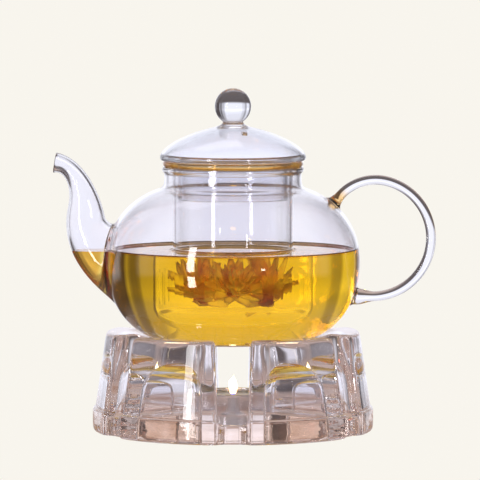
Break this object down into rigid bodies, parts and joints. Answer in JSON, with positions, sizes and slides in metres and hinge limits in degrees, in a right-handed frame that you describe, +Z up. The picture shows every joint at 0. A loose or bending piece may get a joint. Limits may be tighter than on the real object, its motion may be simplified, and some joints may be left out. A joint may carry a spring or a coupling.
{
  "type": "glass teapot",
  "caption": "Round glass teapot with a curved spout, rod handle, lift-out glass infuser and domed lid, on a lobed glass warmer stand with a tealight.",
  "frame": {"origin": "on the pot's axis, at the underside of the warmer stand", "axes": "+Z up along the pot's axis, +X towards the handle, -X towards the spout"},
  "size_m": [0.1959, 0.1434, 0.1755],
  "materials": {
    "clear_glass": "clear blown borosilicate glass, polished",
    "pressed_glass": "clear thick pressed glass",
    "rim_glass": "clear glass that carries the tea's amber glow",
    "cup_aluminium": "thin drawn foil cup, bright",
    "wax": "white paraffin wax, softly translucent",
    "tab_metal": "thin tinned steel",
    "wick": "charred cotton",
    "tea": "clear amber liquid",
    "flower": "steeped chrysanthemum petals"
  },
  "bodies": {
    "stand": {"stand_base": "pressed_glass", "stand_lobe_1": "pressed_glass", "stand_lobe_2": "pressed_glass", "stand_lobe_3": "pressed_glass", "stand_lobe_4": "pressed_glass", "stand_lobe_5": "pressed_glass", "stand_lobe_6": "pressed_glass"},
    "tealight": {"tealight_cup": "cup_aluminium", "tealight_wax": "wax", "wick_tab": "tab_metal", "tealight_wick": "wick"},
    "pot": {"pot_bowl": "clear_glass", "pot_shoulder": "clear_glass", "pot_neck": "clear_glass", "spout": "clear_glass", "handle": "clear_glass", "handle_weld_upper": "rim_glass", "handle_weld_lower": "clear_glass", "tea": "tea"},
    "infuser": {"infuser_rim": "rim_glass", "infuser_sleeve": "clear_glass", "infuser_strainer": "clear_glass", "infuser_floor": "clear_glass", "flower_1": "flower", "flower_2": "flower", "flower_3": "flower"},
    "lid": {"lid_dome": "clear_glass", "lid_collar": "clear_glass", "lid_knob": "clear_glass"}
  },
  "joints": [
    {"name": "pot_lift", "type": "slide", "parent": "stand", "child": "pot", "axis": [0, 0, 1], "range_m": [0, 0.09]},
    {"name": "tealight_lift", "type": "slide", "parent": "stand", "child": "tealight", "axis": [0, 0, 1], "range_m": [0, 0.05]},
    {"name": "infuser_lift", "type": "slide", "parent": "pot", "child": "infuser", "axis": [0, 0, 1], "range_m": [0, 0.075]},
    {"name": "lid_lift", "type": "slide", "parent": "infuser", "child": "lid", "axis": [0, 0, 1], "range_m": [0, 0.04]}
  ],
  "couplings": [
    {"joint": "tealight_lift", "follows": "pot_lift", "ratio": 0.55}
  ]
}
